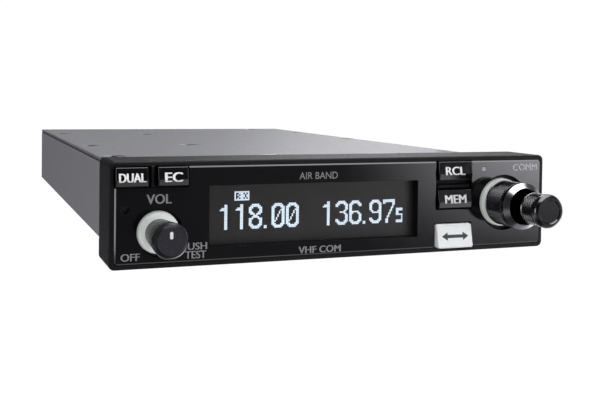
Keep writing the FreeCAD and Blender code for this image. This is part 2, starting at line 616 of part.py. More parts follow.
# ---------------------------------------------------------------- boards
def front_board():
    half_w, half_h = FRONT_BOARD_HALF_W, FRONT_BOARD_HALF_H
    board = box(-half_w, half_w, FRONT_BOARD_FRONT, FRONT_BOARD_BACK, -half_h, half_h)
    through = (FRONT_BOARD_FRONT - CUT, FRONT_BOARD_BACK + CUT)
    board = board.cut(rod(VOLUME_BUSH + SLIP, *through, VOLUME_X, VOLUME_Z))
    board = board.cut(rod(TUNING_BUSH + SLIP, *through, TUNING_X, TUNING_Z))
    board = board.cut(rod(LOCK_HEAD_RADIUS + 4 * SLIP, *through, LOCK_X, LOCK_Z))
    for x, z in FRONT_SCREWS:
        board = board.cut(rod(M2["hole"], *through, x, z))
    return board


def front_board_screws():
    return [screw(M2, 4.0, Vector(x, FRONT_BOARD_BACK, z), FORWARD) for x, z in FRONT_SCREWS]


def main_board():
    """The board, cut away around the lock's pawl, the middle pillars and the rear pillar."""
    x0, x1, y0, y1 = MAIN_BOARD
    board = box(x0, x1, y0, y1, MAIN_BOARD_BOTTOM, MAIN_BOARD_TOP)
    through = (MAIN_BOARD_BOTTOM - CUT, MAIN_BOARD_TOP + CUT)
    pawl_right, ahead, behind = PAWL_CUTOUT
    board = board.cut(box(x0 - CUT, pawl_right, PAWL_Y[0] - ahead, BRACKET_Y + behind, *through))
    rear_left, rear_front = REAR_CUTOUT
    board = board.cut(box(rear_left, x1 + CUT, rear_front, y1 + CUT, *through))
    for x, y in STANDOFFS:
        board = board.cut(post(M25["hole"], *through, x, y))
    for x, y in PILLARS[:2]:
        board = board.cut(post(PILLAR_RADIUS + 4 * SLIP, *through, x, y))
    return board


def board_standoffs():
    posts = []
    for x, y in STANDOFFS:
        solid = post(STANDOFF_RADIUS, FLOOR_TOP, MAIN_BOARD_BOTTOM, x, y)
        hole = post(M25["shank"] + SNUG, FLOOR_TOP + STANDOFF_FLOOR, MAIN_BOARD_TOP, x, y)
        posts.append(solid.cut(hole))
    return posts


def board_screws():
    return [screw(M25, 4.6, Vector(x, y, MAIN_BOARD_TOP), DOWN) for x, y in STANDOFFS]


def rf_shield_can():
    """A thin metal lid over the transmitter's driver stages."""
    x0, x1, y0, y1, top = SHIELD_CAN
    can = rounded_slab(x0, x1, y0, y1, MAIN_BOARD_TOP, top, CAN_CORNER, UP)
    wall = CAN_WALL
    inside = box(x0 + wall, x1 - wall, y0 + wall, y1 - wall, MAIN_BOARD_TOP - CUT, top - wall)
    return can.cut(inside)


def power_amp_module():
    """The output stage, clamped against the rear plate in front of the heat sink."""
    x0, x1, y0, z0, z1 = AMPLIFIER
    tab_width, tab_thickness = AMPLIFIER_TAB
    body = box(x0, x1, y0, REAR_PLATE_Y, z0, z1)
    tab = box(x0 - tab_width, x0, REAR_PLATE_Y - tab_thickness, REAR_PLATE_Y, z0, z1)
    return body.fuse(tab)


def capacitors():
    cans = []
    for x, y, radius, height in CAPACITORS:
        can = post(radius, MAIN_BOARD_TOP, MAIN_BOARD_TOP + height, x, y)
        cans.append(can.makeFillet(CAPACITOR_EDGE, edges_on_plane(can, UP, MAIN_BOARD_TOP + height)))
    return cans


def filter_cans():
    cans = []
    for x in FILTER_LEFTS:
        limits = (x, x + FILTER_WIDTH, *FILTER_Y, MAIN_BOARD_TOP, FILTER_TOP)
        cans.append(rounded_slab(*limits, CAN_CORNER, UP))
    return cans


def flex_connectors():
    """The two connectors of the flat cable, one on each board."""
    x0, x1 = CABLE_CONNECTOR_X
    half_h, end = CABLE_CONNECTOR_HALF_H, CABLE_END_Y + CABLE_CONNECTOR_LENGTH
    front = box(x0, x1, FRONT_BOARD_BACK, CABLE_START_Y, CABLE_HIGH - half_h, CABLE_HIGH + half_h)
    rear = box(x0, x1, CABLE_END_Y, end, MAIN_BOARD_TOP, CABLE_LOW + CABLE_CONNECTOR_RISE)
    return [front, rear]


def flex_cable():
    """A flat cable from the front board, through the port, to the main board."""
    upper = [(CABLE_START_Y, CABLE_HIGH), (CABLE_BEND_Y, CABLE_HIGH), (CABLE_END_Y, CABLE_LOW)]
    lower = [(y, z - CABLE_THICKNESS) for y, z in reversed(upper)]
    return prism_x(upper + lower, *CABLE_X)


# ---------------------------------------------------------------- chassis
def chassis_base():
    """A folded tray: floor, two side walls with inward flanges, and a front bulkhead."""
    left, right, front, rear = CHASSIS_LEFT, CHASSIS_RIGHT, -REBATE, REAR_PLATE_Y
    body = box(left, right, front, rear, CHASSIS_BOTTOM, FLOOR_TOP)
    walls = (
        (left, left + SHEET, rear, CHASSIS_BOTTOM),
        (right - SHEET, right, rear, CHASSIS_BOTTOM),
        (left, left + FLANGE_WIDTH, rear, FLANGE_BOTTOM),
        (right - FLANGE_WIDTH, right, rear, FLANGE_BOTTOM),
        (left, right, front + SHEET, CHASSIS_BOTTOM),
    )
    for x0, x1, back, bottom in walls:
        body = body.fuse(box(x0, x1, front, back, bottom, FLANGE_TOP))
    body = body.removeSplitter()
    body = body.makeFillet(OUTER_BEND, outer_bends(body))
    body = body.makeFillet(FRONT_BEND, front_bend(body))
    body = add_rear_flanges(body)
    through = (front - CUT, SHEET + CUT)
    body = body.cut(box(PORT[0], PORT[1], *through, PORT[2], PORT[3]))
    for x, z in BEZEL_SCREWS:
        body = body.cut(rod(M25["hole"], *through, x, z))
    body = body.cut(rod(LOCK_ROD_RADIUS + RUNNING, *through, LOCK_X, LOCK_Z))
    for x, y, _ in COVER_SCREWS:
        body = body.cut(post(M25["shank"] + SNUG, FLANGE_BOTTOM - CUT, FLANGE_TOP + CUT, x, y))
    slot_left, slot_right, clearance = PAWL_SLOT
    y0, y1 = PAWL_Y[0] - clearance, PAWL_Y[1] + clearance
    z0, z1 = CHASSIS_BOTTOM - CUT, FLOOR_TOP + CUT
    return body.cut(box(LOCK_X + slot_left, LOCK_X + slot_right, y0, y1, z0, z1))


def outer_bends(body):
    """The four long outer corners of the folded sheet."""
    bends = []
    for edge in edges_along(body, BACKWARD):
        centre = edge.BoundBox.Center
        on_side = min(abs(centre.x - CHASSIS_LEFT), abs(centre.x - CHASSIS_RIGHT)) < 1e-4
        on_end = min(abs(centre.z - CHASSIS_BOTTOM), abs(centre.z - FLANGE_TOP)) < 1e-4
        if on_side and on_end and edge.Length > CHASSIS_REAR / 2:
            bends.append(edge)
    return bends


def front_bend(body):
    """The corner between the floor and the front bulkhead."""
    bottom = edges_on_plane(body, UP, CHASSIS_BOTTOM)
    return [edge for edge in bottom if edge.BoundBox.YMax < CUT and edge.BoundBox.XLength > 1]


def add_rear_flanges(body):
    """Inward flanges at the back of both side walls, which the rear plate is screwed to."""
    y0, y1 = REAR_PLATE_Y - SHEET, REAR_PLATE_Y
    for x0, x1 in (
        (CHASSIS_LEFT + SHEET / 2, CHASSIS_LEFT + REAR_FLANGE),
        (CHASSIS_RIGHT - REAR_FLANGE, CHASSIS_RIGHT - SHEET / 2),
    ):
        body = body.fuse(box(x0, x1, y0, y1, FLOOR_TOP - SHEET / 2, FLANGE_BOTTOM + SHEET / 2))
    for x, z in REAR_SCREWS:
        body = body.cut(rod(M25["shank"] + SNUG, y0 - CUT, y1 + CUT, x, z))
    return body


def dimple(x, y, radius):
    """The pressed cone around a cover screw, as a solid that fills its hollow."""
    place = Vector(x, y, COVER_TOP - COVER_GAP)
    return Part.makeCone(DIMPLE_FLAT, radius, COVER_GAP, place, UP)


def dimple_underside(x, y, radius):
    """The metal that a dimple pushes down below the lid."""
    depth = COVER_GAP - SLIP / 2
    return Part.makeCone(DIMPLE_FLAT, radius, depth, Vector(x, y, COVER_BOTTOM - depth), UP)


def top_cover():
    """A flat lid with pressed dimples, sloped front tabs and a folded lip at the rear."""
    x0, x1 = CHASSIS_LEFT + COVER_SIDE_GAP, CHASSIS_RIGHT - COVER_SIDE_GAP
    front, back = -REBATE + COVER_FRONT_GAP, CHASSIS_REAR + SHEET
    lip_left, lip_right, lip_bottom = COVER_LIP
    lid = box(x0, x1, front, CHASSIS_REAR, COVER_BOTTOM, COVER_TOP)
    lip = box(lip_left, lip_right, CHASSIS_REAR + SLIP / 2, back, lip_bottom, COVER_TOP)
    bridge = box(lip_left, lip_right, CHASSIS_REAR - CUT, back, COVER_BOTTOM, COVER_TOP)
    lid = lid.fuse(lip).fuse(bridge).removeSplitter()
    top_edges = edges_on_plane(lid, UP, COVER_TOP)
    bend = [edge for edge in top_edges if edge.BoundBox.YMin > CHASSIS_REAR + SHEET / 2]
    lid = lid.makeFillet(COVER_BEND, bend)
    lid = lid.makeFillet(COVER_EDGE, long_top_edges(lid))
    under_lid = box(x0, x1, front, CHASSIS_REAR, FLANGE_TOP, COVER_TOP)
    for x, y, radius in COVER_SCREWS:
        lid = lid.fuse(dimple_underside(x, y, radius).common(under_lid))
        lid = lid.cut(dimple(x, y, radius))
        lid = lid.cut(post(M25["hole"], FLANGE_BOTTOM, COVER_TOP, x, y))
    over = COVER_TOP + SNUG
    for tab_x0, tab_x1 in COVER_TABS:
        slope = [(front - CUT, COVER_TOP - TAB_DROP), (TAB_LENGTH, over), (front - CUT, over)]
        lid = lid.cut(prism_x(slope, tab_x0, tab_x1))
    return lid


def long_top_edges(lid):
    edges = edges_on_plane(lid, UP, COVER_TOP)
    return [edge for edge in edges if edge.BoundBox.YLength > CHASSIS_REAR / 2]


def cover_screws():
    seat = COVER_TOP - COVER_GAP
    size = dict(M25, height=COVER_GAP - 0.02)
    return [screw(size, 5.0, Vector(x, y, seat), DOWN) for x, y, _ in COVER_SCREWS]


def cover_pillars():
    """Posts from the floor that hold the middle of the cover."""
    pillars = []
    for x, y in PILLARS:
        solid = post(PILLAR_RADIUS, FLOOR_TOP, FLANGE_TOP, x, y)
        hole = post(M25["shank"] + SNUG, PILLAR_HOLE_FLOOR, FLANGE_TOP + CUT, x, y)
        pillars.append(solid.cut(hole))
    return pillars


def bezel_screws():
    seat = SHEET - REBATE
    return [screw(M25, 6.4, Vector(x, seat, z), FORWARD) for x, z in BEZEL_SCREWS]


def lock_bracket():
    """A small angle on the floor that carries the back end of the lock rod."""
    back = BRACKET_Y + BRACKET_SHEET
    ear = box(*BRACKET_X, BRACKET_Y, back, FLOOR_TOP, LOCK_Z + BRACKET_RISE)
    foot_back, foot_top = BRACKET_Y + BRACKET_FOOT, FLOOR_TOP + BRACKET_SHEET
    foot = box(*BRACKET_X, BRACKET_Y, foot_back, FLOOR_TOP, foot_top)
    bracket = ear.fuse(foot).removeSplitter()
    bearing = rod(LOCK_ROD_RADIUS + RUNNING, BRACKET_Y - CUT, back + CUT, LOCK_X, LOCK_Z)
    return bracket.cut(bearing)


def lock_rod():
    """A long rod whose head, behind the faceplate, has a hexagon socket."""
    head = rod(LOCK_HEAD_RADIUS, LOCK_HEAD_FRONT, LOCK_HEAD_BACK, LOCK_X, LOCK_Z)
    shank = rod(LOCK_ROD_RADIUS, LOCK_HEAD_BACK - CUT, LOCK_ROD_END, LOCK_X, LOCK_Z)
    body = head.fuse(shank)
    socket = hexagon(HEX_SOCKET, WEB_BACK - CUT, WEB_BACK + LOCK_SOCKET_DEPTH, LOCK_X, LOCK_Z)
    return body.cut(socket)


def lock_pawl():
    """The cam on the rod: inside the chassis when open, through the floor when locked."""
    z0, z1 = LOCK_Z - PAWL_WIDTH / 2, LOCK_Z + PAWL_WIDTH / 2
    end = LOCK_X + PAWL_REACH
    arm = box(LOCK_X, end - PAWL_TIP, *PAWL_Y, z0, z1)
    tip = rounded_slab(end - 2.5 * PAWL_TIP, end, *PAWL_Y, z0, z1, PAWL_TIP)
    hub = rod(PAWL_HUB, *PAWL_Y, LOCK_X, LOCK_Z)
    bore = rod(LOCK_ROD_RADIUS + SNUG, PAWL_Y[0] - CUT, PAWL_Y[1] + CUT, LOCK_X, LOCK_Z)
    return arm.fuse(tip).fuse(hub).cut(bore)


# ---------------------------------------------------------------- rear
def jack_places():
    return [CONNECTOR_X + sign * CONNECTOR_SPACING / 2 for sign in (-1, 1)]


def rear_plate():
    left, right = CHASSIS_LEFT + SLIP, CHASSIS_RIGHT - SLIP
    bottom, top = CHASSIS_BOTTOM + SLIP, COVER_BOTTOM - SLIP
    plate = box(left, right, REAR_PLATE_Y, CHASSIS_REAR, bottom, top)
    plate = plate.makeFillet(REAR_PLATE_CORNER, edges_along(plate, BACKWARD))
    through = (REAR_PLATE_Y - CUT, CHASSIS_REAR + CUT)
    plate = plate.cut(connector_outline(4 * SLIP, *through))
    for x in jack_places():
        plate = plate.cut(rod(JACK_CLEARANCE, *through, x, CONNECTOR_Z))
    plate = plate.cut(rod(ANTENNA_THREAD + SLIP, *through, ANTENNA_X, ANTENNA_Z))
    for x, z in REAR_SCREWS + SINK_SCREWS:
        plate = plate.cut(rod(M25["hole"], *through, x, z))
    return plate


def rear_plate_screws():
    return [screw(M25, 5.0, Vector(x, CHASSIS_REAR, z), FORWARD) for x, z in REAR_SCREWS]


def heat_sink():
    """An extruded sink with upright fins, screwed on through the rear plate."""
    x0, x1, z0, z1 = HEAT_SINK
    sink = box(x0, x1, CHASSIS_REAR, CHASSIS_REAR + FIN_BASE, z0, z1)
    count = int((x1 - x0 - FIN_THICKNESS) / FIN_PITCH) + 1
    for i in range(count):
        x = x0 + i * FIN_PITCH
        sink = sink.fuse(box(x, x + FIN_THICKNESS, CHASSIS_REAR, CHASSIS_REAR + FIN_DEPTH, z0, z1))
    sink = sink.removeSplitter()
    for x, z in SINK_SCREWS:
        sink = sink.cut(rod(M25["shank"] + SNUG, CHASSIS_REAR - CUT, CHASSIS_REAR + SINK_HOLE_DEPTH, x, z))
    return sink


def heat_sink_screws():
    return [screw(M25, 3.0, Vector(x, REAR_PLATE_Y, z), BACKWARD) for x, z in SINK_SCREWS]


def connector_outline(gap, y0, y1):
    """The D-shaped outline of the 25-way connector, wider at its top."""
    wide, narrow, half = D_WIDE + gap, D_NARROW + gap, D_HALF + gap
    corners = ((-wide, half), (wide, half), (narrow, -half), (-narrow, -half))
    points = [Vector(CONNECTOR_X + x, y0, CONNECTOR_Z + z) for x, z in corners]
    face = Part.Face(Part.makePolygon(points + [points[0]]))
    solid = face.extrude(Vector(0, y1 - y0, 0))
    return solid.makeFillet(D_CORNER, edges_along(solid, BACKWARD))


def connector_shell():
    """The connector's flange and D-shaped metal shell."""
    half_w, half_h, thickness, corner = SHELL_FLANGE
    x0, x1 = CONNECTOR_X - half_w, CONNECTOR_X + half_w
    z0, z1 = CONNECTOR_Z - half_h, CONNECTOR_Z + half_h
    front, back = CHASSIS_REAR, CHASSIS_REAR + SHELL_DEPTH
    flange = rounded_slab(x0, x1, front, front + thickness, z0, z1, corner)
    shell = flange.fuse(connector_outline(0.0, front, back))
    shell = shell.cut(connector_outline(-SHELL_WALL, front - CUT, back + CUT))
    for x in jack_places():
        shell = shell.cut(rod(JACK_CLEARANCE, front - CUT, front + thickness + CUT, x, CONNECTOR_Z))
    return shell


def connector_insulator():
    """The block inside the shell, with two rows of contact holes."""
    front, back = CHASSIS_REAR - INSULATOR_FRONT, CHASSIS_REAR + INSULATOR_BACK
    block = connector_outline(-SHELL_WALL - SNUG, front, back)
    for count, level in CONTACT_ROWS:
        for i in range(count):
            x = CONNECTOR_X + (i - (count - 1) / 2) * CONTACT_PITCH
            hole = rod(CONTACT_HOLE, CHASSIS_REAR + CONTACT_FLOOR, back + CUT, x, CONNECTOR_Z + level)
            block = block.cut(hole)
    return block


def jack_sockets():
    """Hexagonal threaded sockets for the mating plug's two screws."""
    sockets = []
    seat = CHASSIS_REAR + SHELL_FLANGE[2]
    for x in jack_places():
        body = hexagon(JACK_FLATS, seat, seat + JACK_LENGTH, x, CONNECTOR_Z)
        stud = rod(JACK_STUD, CHASSIS_REAR - JACK_STUD_DEPTH, seat + CUT / 2, x, CONNECTOR_Z)
        hole = rod(JACK_HOLE, seat + JACK_HOLE_FLOOR, seat + JACK_LENGTH + CUT, x, CONNECTOR_Z)
        sockets.append(body.fuse(stud).cut(hole))
    return sockets


def antenna_connector():
    """A coaxial barrel that plugs into the mating half as the radio slides in."""
    x, z = ANTENNA_X, ANTENNA_Z
    barrel = rod(ANTENNA_RADIUS, ANTENNA_SHOULDER - CUT, ANTENNA_END, x, z)
    barrel = barrel.makeChamfer(ANTENNA_EDGE, edges_on_plane(barrel, BACKWARD, ANTENNA_END))
    thread = rod(ANTENNA_THREAD, ANTENNA_FRONT, ANTENNA_SHOULDER, x, z)
    collar = rod(ANTENNA_COLLAR, REAR_PLATE_Y - COLLAR_THICKNESS, REAR_PLATE_Y, x, z)
    bore = rod(ANTENNA_BORE, ANTENNA_FRONT - CUT, ANTENNA_END + CUT, x, z)
    return barrel.fuse(thread).fuse(collar).cut(bore)


def antenna_nut():
    flats, thickness = ANTENNA_NUT
    back = CHASSIS_REAR + thickness
    nut = hexagon(flats, CHASSIS_REAR, back, ANTENNA_X, ANTENNA_Z)
    hole = rod(ANTENNA_THREAD + SNUG, CHASSIS_REAR - CUT, back + CUT, ANTENNA_X, ANTENNA_Z)
    return nut.cut(hole)


def antenna_dielectric():
    body = rod(ANTENNA_BORE - SNUG, ANTENNA_FRONT, DIELECTRIC_BACK, ANTENNA_X, ANTENNA_Z)
    through = (ANTENNA_FRONT - CUT, DIELECTRIC_BACK + CUT)
    return body.cut(rod(ANTENNA_CONTACT, *through, ANTENNA_X, ANTENNA_Z))


def antenna_contact():
    contact = rod(ANTENNA_CONTACT - SNUG, CONTACT_FRONT, CONTACT_BACK, ANTENNA_X, ANTENNA_Z)
    return contact.makeChamfer(CONTACT_EDGE, edges_on_plane(contact, BACKWARD, CONTACT_BACK))


# ---------------------------------------------------------------- all nodes
NODES = {
    "bezel_housing": bezel_housing,
    "faceplate": faceplate,
    "display_window": display_window,
    "display_module": display_module,
    "light_sensor": light_sensor,
    "panel_leds": panel_leds,
    "key_switches": key_switches,
    "volume_potentiometer": volume_potentiometer,
    "volume_plunger": volume_plunger,
    "volume_shaft": volume_shaft,
    "volume_knob": volume_knob,
    "volume_pointer": volume_pointer,
    "tuning_encoder": tuning_encoder,
    "tuning_plunger": tuning_plunger,
    "tuning_outer_shaft": tuning_outer_shaft,
    "tuning_inner_shaft": tuning_inner_shaft,
    "tuning_outer_knob": tuning_outer_knob,
    "tuning_inner_knob": tuning_inner_knob,
    "front_board": front_board,
    "front_board_screws": front_board_screws,
    "main_board": main_board,
    "board_standoffs": board_standoffs,
    "board_screws": board_screws,
    "rf_shield_can": rf_shield_can,
    "power_amp_module": power_amp_module,
    "capacitors": capacitors,
    "filter_cans": filter_cans,
    "flex_connectors": flex_connectors,
    "flex_cable": flex_cable,
    "chassis_base": chassis_base,
    "top_cover": top_cover,
    "cover_screws": cover_screws,
    "cover_pillars": cover_pillars,
    "bezel_screws": bezel_screws,
    "lock_bracket": lock_bracket,
    "lock_rod": lock_rod,
    "lock_pawl": lock_pawl,
    "rear_plate": rear_plate,
    "rear_plate_screws": rear_plate_screws,
    "heat_sink": heat_sink,
    "heat_sink_screws": heat_sink_screws,
    "connector_shell": connector_shell,
    "connector_insulator": connector_insulator,
    "jack_sockets": jack_sockets,
    "antenna_connector": antenna_connector,
    "antenna_nut": antenna_nut,
    "antenna_dielectric": antenna_dielectric,
    "antenna_contact": antenna_contact,
}


def main():
    os.makedirs("parts", exist_ok=True)
    for name, make in NODES.items():
        save(name, make())
    for name, limits in KEYS.items():
        save(name, key_cap(limits, SWAP_CORNER if name == "swap_key" else 0.0))
    save("light_pipe", light_pipe(0.0))
    save("volume_light_ring", light_ring(VOLUME_RING, VOLUME_X, VOLUME_Z))
    save("tuning_light_ring", light_ring(TUNING_RING, TUNING_X, TUNING_Z))
    save("volume_nut", shaft_nut(VOLUME_NUT, VOLUME_BUSH, VOLUME_X, VOLUME_Z))
    save("tuning_nut", shaft_nut(TUNING_NUT, TUNING_BUSH, TUNING_X, TUNING_Z))


main()
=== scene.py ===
"""Looks of the panel-mounted aircraft radio: materials, print, display and gripped knobs around the CAD."""

import json
import math

import bmesh
import bpy
from mathutils import Matrix, Vector


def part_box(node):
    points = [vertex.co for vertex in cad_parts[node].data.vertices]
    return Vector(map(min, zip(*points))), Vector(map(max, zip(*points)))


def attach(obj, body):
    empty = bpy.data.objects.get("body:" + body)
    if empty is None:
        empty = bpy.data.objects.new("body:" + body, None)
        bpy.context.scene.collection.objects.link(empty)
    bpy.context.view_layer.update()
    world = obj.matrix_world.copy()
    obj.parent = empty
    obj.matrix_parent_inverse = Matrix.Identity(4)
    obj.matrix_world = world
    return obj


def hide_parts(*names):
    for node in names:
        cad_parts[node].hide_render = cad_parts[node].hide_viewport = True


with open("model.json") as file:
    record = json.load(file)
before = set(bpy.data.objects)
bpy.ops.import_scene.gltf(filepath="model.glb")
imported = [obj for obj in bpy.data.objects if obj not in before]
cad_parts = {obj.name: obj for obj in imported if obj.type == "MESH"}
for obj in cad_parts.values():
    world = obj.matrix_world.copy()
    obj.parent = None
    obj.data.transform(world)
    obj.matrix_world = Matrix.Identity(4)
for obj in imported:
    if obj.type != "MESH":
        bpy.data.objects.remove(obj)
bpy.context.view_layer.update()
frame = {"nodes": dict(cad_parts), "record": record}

MM = 0.001  # lengths in millimetres are multiplied by this

# ---------------------------------------------------------------- materials


def socket(node, name, value):
    node.inputs[name].default_value = value


NOISE_LOW, NOISE_HIGH = 0.3, 0.7  # the part of a noise's range that is used


def speckle(tree, scale, detail, low, high):
    """A noise whose values run from low to high."""
    place = tree.nodes.new("ShaderNodeTexCoord")
    noise = tree.nodes.new("ShaderNodeTexNoise")
    socket(noise, "Scale", scale)
    socket(noise, "Detail", detail)
    spread = tree.nodes.new("ShaderNodeMapRange")
    socket(spread, "From Min", NOISE_LOW)
    socket(spread, "From Max", NOISE_HIGH)
    socket(spread, "To Min", low)
    socket(spread, "To Max", high)
    tree.links.new(place.outputs["Object"], noise.inputs["Vector"])
    tree.links.new(noise.outputs["Fac"], spread.inputs["Value"])
    return spread.outputs["Result"]


def math_node(tree, kind, a, b=None):
    """One step of arithmetic on sockets and numbers."""
    node = tree.nodes.new("ShaderNodeMath")
    node.operation = kind
    for n, value in enumerate((a, b)):
        if isinstance(value, (int, float)):
            node.inputs[n].default_value = value
        elif value is not None:
            tree.links.new(value, node.inputs[n])
    return node.outputs[0]


def ramp(tree, value, start, end, low, high):
    """A smooth step from low at start to high at end."""
    node = tree.nodes.new("ShaderNodeMapRange")
    node.interpolation_type = "SMOOTHSTEP"
    tree.links.new(value, node.inputs["Value"])
    socket(node, "From Min", start)
    socket(node, "From Max", end)
    socket(node, "To Min", low)
    socket(node, "To Max", high)
    return node.outputs["Result"]


# How fine the changes of tone, roughness and relief are, as multiples of a material's grain.
TONE_GRAIN, ROUGH_GRAIN, RELIEF_GRAIN = 0.13, 0.4, 3
TONE_DETAIL, ROUGH_DETAIL, RELIEF_DETAIL = 4, 3, 2
RELIEF_HEIGHT = 0.2 * MM
LEAST_ROUGH = 0.02


def surface(name, colour, rough, metal=0.0, tone=0.12, grain=900.0, relief=0.02, spread=0.06, **extra):
    """A principled material with its own small changes of tone, roughness and relief."""
    made = bpy.data.materials.new(name)
    made.use_nodes = True
    tree = made.node_tree
    shader = tree.nodes["Principled BSDF"]
    mix = tree.nodes.new("ShaderNodeMix")
    mix.data_type = "RGBA"
    mix.inputs["A"].default_value = (*[c * (1 - tone) for c in colour], 1)
    mix.inputs["B"].default_value = (*[min(1, c * (1 + tone)) for c in colour], 1)
    tree.links.new(speckle(tree, grain * TONE_GRAIN, TONE_DETAIL, 0, 1), mix.inputs["Factor"])
    tree.links.new(mix.outputs["Result"], shader.inputs["Base Color"])
    smoothest = max(LEAST_ROUGH, rough - spread)
    dulled = speckle(tree, grain * ROUGH_GRAIN, ROUGH_DETAIL, smoothest, rough + spread)
    tree.links.new(dulled, shader.inputs["Roughness"])
    bump = tree.nodes.new("ShaderNodeBump")
    socket(bump, "Strength", relief)
    socket(bump, "Distance", RELIEF_HEIGHT)
    tree.links.new(speckle(tree, grain * RELIEF_GRAIN, RELIEF_DETAIL, 0, 1), bump.inputs["Height"])
    tree.links.new(bump.outputs["Normal"], shader.inputs["Normal"])
    socket(shader, "Metallic", metal)
    if "glow" in extra:
        tree.links.new(mix.outputs["Result"], shader.inputs["Emission Color"])
        socket(shader, "Emission Strength", extra.pop("glow"))
    for key, value in extra.items():
        socket(shader, key.replace("_", " "), value)
    return made


SLOTS = {
    "bezel": surface("bezel_plastic", (0.0075, 0.0075, 0.0088), 0.5, grain=2600, relief=0.15,
                     Specular_IOR_Level=0.14),
    "faceplate": surface("face_acrylic", (0.0055, 0.0052, 0.007), 0.08, tone=0.05, relief=0.004, spread=0.02),
    "window_glass": surface("window_glass", (0.02, 0.02, 0.02), 0.08, tone=0.02, relief=0.002, spread=0.01,
                            Alpha=0.1),
    "display": surface("display_face", (0.014, 0.0115, 0.0105), 0.45, tone=0.06, relief=0.01, glow=0.22),
    "light_guide": surface("light_guide", (0.5, 0.51, 0.52), 0.35),
    # The light rings glow: partly their own backlight, partly painted light that lifts the side in shade.
    "light_ring": surface("light_ring", (0.60, 0.64, 0.61), 0.38, tone=0.05, relief=0.03, glow=0.42),
    "key_dark": surface("key_dark", (0.002, 0.0019, 0.0025), 0.15, grain=2200, relief=0.03),
    "key_light": surface("key_light", (0.86, 0.89, 0.88), 0.42, tone=0.03, grain=2200, relief=0.1),
    "knob": surface("knob_plastic", (0.015, 0.015, 0.018), 0.26, tone=0.06, grain=2200, relief=0.02,
                    spread=0.03, Specular_IOR_Level=0.14),
    "pointer": surface("pointer_inlay", (0.82, 0.83, 0.83), 0.4, tone=0.04),
    "tuning_knob": surface("tuning_knob", (0.19, 0.187, 0.198), 0.2, metal=1.0, tone=0.06, relief=0.012,
                           spread=0.03),
    "plated_steel": surface("plated_steel", (0.55, 0.55, 0.56), 0.3, metal=1.0),
    "control_body": surface("control_body", (0.35, 0.36, 0.36), 0.4, metal=1.0),
    "circuit_board": surface("circuit_board", (0.02, 0.10, 0.04), 0.45),
    "brass_post": surface("brass_post", (0.72, 0.55, 0.25), 0.3, metal=1.0),
    "tinned_can": surface("tinned_can", (0.62, 0.62, 0.62), 0.35, metal=1.0),
    "component_black": surface("component_black", (0.02, 0.02, 0.02), 0.5),
    "flex_film": surface("flex_film", (0.45, 0.22, 0.05), 0.35),
    "chassis": surface("chassis_paint", (0.25, 0.243, 0.264), 0.5, tone=0.03, grain=2400, relief=0.05),
    "cover": surface("cover_paint", (0.174, 0.176, 0.187), 0.34, tone=0.03, grain=2400, relief=0.03,
                     Coat_Weight=0.12, Coat_Roughness=0.2),
    "black_screw": surface("black_screw", (0.012, 0.012, 0.012), 0.4),
    "heat_sink": surface("heat_sink", (0.03, 0.03, 0.033), 0.42, metal=0.6),
    "connector_metal": surface("connector_metal", (0.62, 0.62, 0.60), 0.28, metal=1.0),
    "dielectric": surface("dielectric", (0.8, 0.8, 0.78), 0.4),
    "gold_contact": surface("gold_contact", (0.83, 0.62, 0.25), 0.25, metal=1.0),
}


SQUARE_TO_FRONT = -0.97  # Y of the normal of a face that looks straight ahead, at most


def paint_light_and_shade(made, axis, front_painted_shading, bands):
    """Paints light and shade into the colour of a body turned about axis (x, z in mm): scales it by the front
    factor on faces square to the front, and in each (front, rear, inner radius, outer radius, low, high) band
    along Y (mm) by a factor of painted light and shade that runs from low at the inner radius to high at the
    outer one."""
    tree = made.node_tree
    shader = tree.nodes["Principled BSDF"]
    base = shader.inputs["Base Color"].links[0].from_socket
    spot = tree.nodes.new("ShaderNodeTexCoord")
    split = tree.nodes.new("ShaderNodeSeparateXYZ")
    tree.links.new(spot.outputs["Object"], split.inputs["Vector"])
    form = tree.nodes.new("ShaderNodeNewGeometry")
    normal = tree.nodes.new("ShaderNodeSeparateXYZ")
    tree.links.new(form.outputs["Normal"], normal.inputs["Vector"])
    facing = math_node(tree, "LESS_THAN", normal.outputs["Y"], SQUARE_TO_FRONT)
    factor = math_node(tree, "SUBTRACT", 1.0, math_node(tree, "MULTIPLY", facing, 1 - front_painted_shading))
    apart = [math_node(tree, "SUBTRACT", split.outputs[name], at * MM) for name, at in zip("XZ", axis)]
    squares = [math_node(tree, "MULTIPLY", side, side) for side in apart]
    radius = math_node(tree, "SQRT", math_node(tree, "ADD", *squares))
    for front, rear, inner, outer, low, high in bands:
        inside = math_node(tree, "GREATER_THAN", split.outputs["Y"], front * MM)
        before = math_node(tree, "LESS_THAN", split.outputs["Y"], rear * MM)
        inside = math_node(tree, "MULTIPLY", inside, before)
        lost = math_node(tree, "SUBTRACT", 1.0, ramp(tree, radius, inner * MM, outer * MM, low, high))
        painted_band_factor = math_node(tree, "SUBTRACT", 1.0, math_node(tree, "MULTIPLY", inside, lost))
        factor = math_node(tree, "MULTIPLY", factor, painted_band_factor)
    scaled = tree.nodes.new("ShaderNodeVectorMath")
    scaled.operation = "SCALE"
    tree.links.new(base, scaled.inputs[0])
    tree.links.new(factor, scaled.inputs["Scale"])
    tree.links.new(scaled.outputs["Vector"], shader.inputs["Base Color"])


PRINT = surface("panel_print", (0.27, 0.27, 0.275), 0.1, tone=0.06, relief=0.004)
LEGEND = surface("key_legend", (0.88, 0.90, 0.90), 0.3, tone=0.04)
ARROW = surface("arrow_print", (0.035, 0.042, 0.035), 0.5, tone=0.1)
LIT = surface("lit_dots", (0.66, 0.78, 0.88), 0.5, tone=0.06, glow=0.85)

# The cut grips: their radii at the peaks, how deep they are cut, and the painted shade in the valleys and
# painted light on the peaks, as factors of the colour.
OUTER_GRIP, INNER_GRIP = 8.1, 5.6
GRIP_DEPTH = 0.3
VALLEY_PAINTED_SHADE, PEAK_PAINTED_LIGHT = 0.02, 0.7
